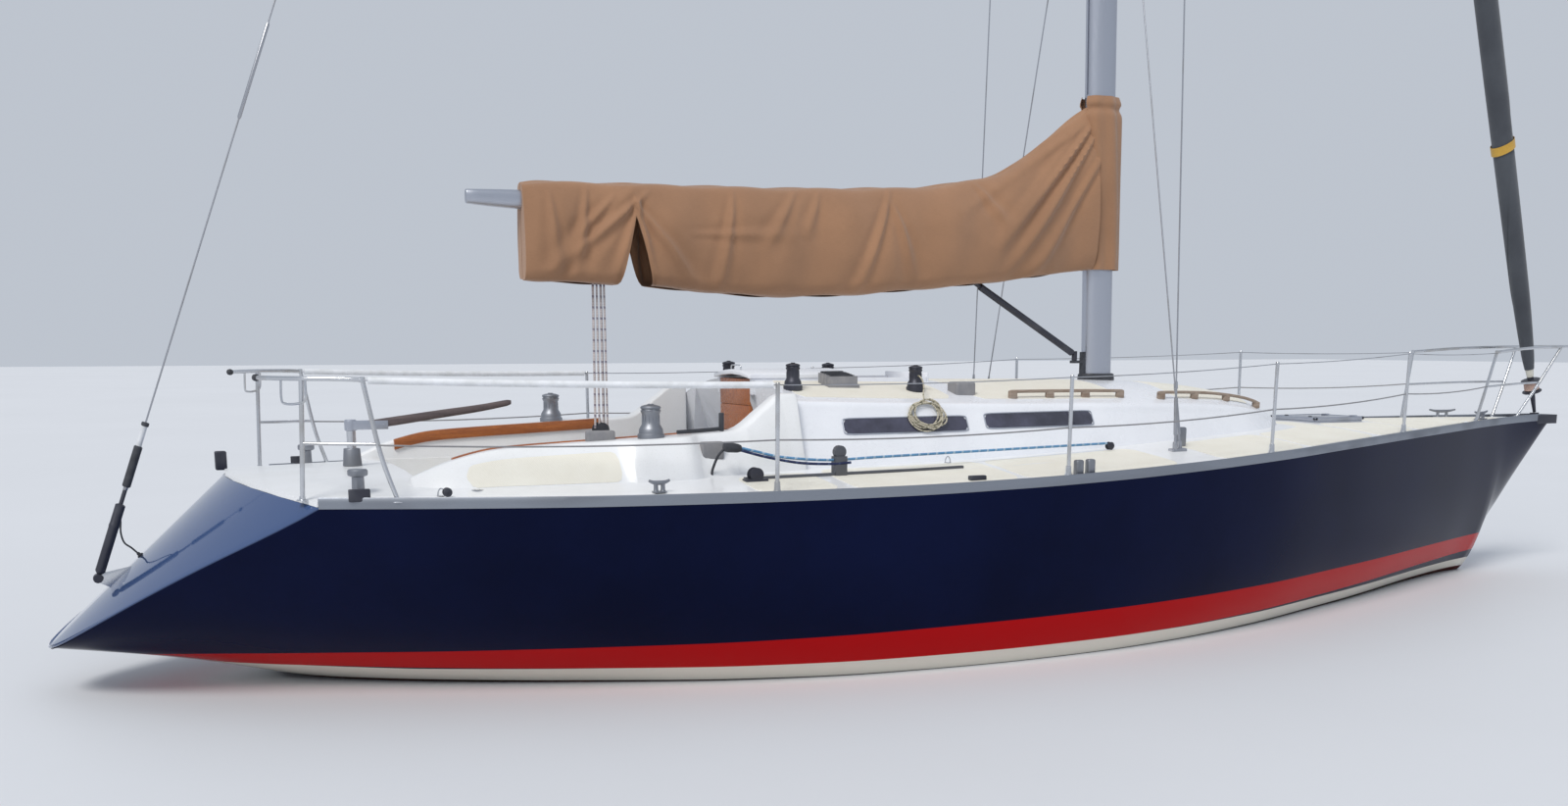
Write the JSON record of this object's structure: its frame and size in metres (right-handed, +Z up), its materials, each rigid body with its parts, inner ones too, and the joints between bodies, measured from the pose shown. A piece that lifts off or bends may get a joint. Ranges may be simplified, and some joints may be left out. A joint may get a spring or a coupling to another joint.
{
  "type": "sailing yacht",
  "caption": "Masthead sloop lying afloat: raked transom, fin keel, tiller steering, low coachroof, furled headsail and a boom with its sail under a canvas cover.",
  "frame": {"origin": "on the water plane, on the centreline, 6.0 m forward of the tip of the transom", "axes": "+X forward along the centreline, +Y to port, +Z up"},
  "size_m": [12.2458, 3.6438, 20.25],
  "materials": {
    "navy_topsides": "deep navy gloss topsides with red and white stripes",
    "white_gelcoat": "white gelcoat with cream non-skid panels",
    "bottom_paint": "dull red underwater paint",
    "teak": "oiled teak",
    "tan_canvas": "faded brown acrylic canvas",
    "dark_sailcloth": "dark grey-blue sun strip of the furled headsail",
    "bronze": "propeller bronze",
    "smoked_acrylic": "dark smoked acrylic lid",
    "black_fittings": "black anodised and moulded deck fittings",
    "stainless": "polished stainless tube and wire",
    "grey_rope": "weathered braided polyester rope",
    "aluminium": "clear anodised aluminium"
  },
  "bodies": {
    "boat": {"hull": "navy_topsides", "deck": "white_gelcoat", "toe_rail_starboard": "aluminium", "toe_rail_port": "aluminium", "cockpit": "white_gelcoat", "coachroof": "white_gelcoat", "coaming_starboard": "white_gelcoat", "coaming_port": "white_gelcoat", "washboards": "teak", "fore_hatch_frame": "aluminium", "keel": "bottom_paint", "rudder_bearing": "aluminium", "propeller_leg": "black_fittings", "mast": "aluminium", "mast_foot": "black_fittings", "spreaders_lower": "aluminium", "spreaders_upper": "aluminium", "shrouds_starboard": "stainless", "shrouds_port": "stainless", "furled_headsail": "dark_sailcloth", "furler_drum": "black_fittings", "backstay_adjuster": "black_fittings", "backstay": "stainless", "hose_gland": "black_fittings", "backstay_hose": "black_fittings", "gooseneck": "aluminium", "cover_collar": "tan_canvas", "traveller": "aluminium", "primary_winch_starboard": "black_fittings", "primary_winch_port": "black_fittings", "roof_winch_starboard": "black_fittings", "roof_winch_port": "black_fittings", "mast_winch_starboard": "black_fittings", "mast_winch_port": "black_fittings", "line_clutches": "black_fittings", "pushpit_starboard": "stainless", "pushpit_port": "stainless", "pulpit": "stainless", "stanchion_starboard_1": "stainless", "stanchion_port_1": "stainless", "stanchion_starboard_2": "stainless", "stanchion_port_2": "stainless", "stanchion_starboard_3": "stainless", "stanchion_port_3": "stainless", "stanchion_starboard_4": "stainless", "stanchion_port_4": "stainless", "genoa_track_starboard": "black_fittings", "genoa_track_port": "black_fittings", "stemhead": "stainless", "rope_hank": "grey_rope", "rope_tail": "grey_rope"},
    "boom": {"boom": "aluminium", "boom_vang": "black_fittings", "sail_cover": "tan_canvas", "mainsheet": "black_fittings"},
    "rudder": {"rudder": "bottom_paint", "tiller": "teak"},
    "propeller": {"propeller": "bronze"},
    "fore_hatch": {"fore_hatch": "smoked_acrylic"},
    "sliding_hatch": {"sliding_hatch": "white_gelcoat"}
  },
  "joints": [
    {"name": "boom_swing", "type": "hinge", "parent": "boat", "child": "boom", "pos_m": [0.93, 0, 2.81], "axis": [0, 0, 1], "range_deg": [-70, 70], "deforming": ["mainsheet"]},
    {"name": "rudder_turn", "type": "hinge", "parent": "boat", "child": "rudder", "pos_m": [-4.285, 0, 1.3], "axis": [0, 0, 1], "range_deg": [-35, 35]},
    {"name": "propeller_spin", "type": "hinge", "parent": "boat", "child": "propeller", "pos_m": [-2.67, 0, -0.8], "axis": [1, 0, 0], "continuous": true},
    {"name": "sliding_hatch_slide", "type": "slide", "parent": "boat", "child": "sliding_hatch", "axis": [1, 0, 0], "range_m": [0, 0.55]},
    {"name": "fore_hatch_hinge", "type": "hinge", "parent": "boat", "child": "fore_hatch", "pos_m": [3.612, 0, 1.357], "axis": [0, 1, 0], "range_deg": [0, 95]}
  ]
}
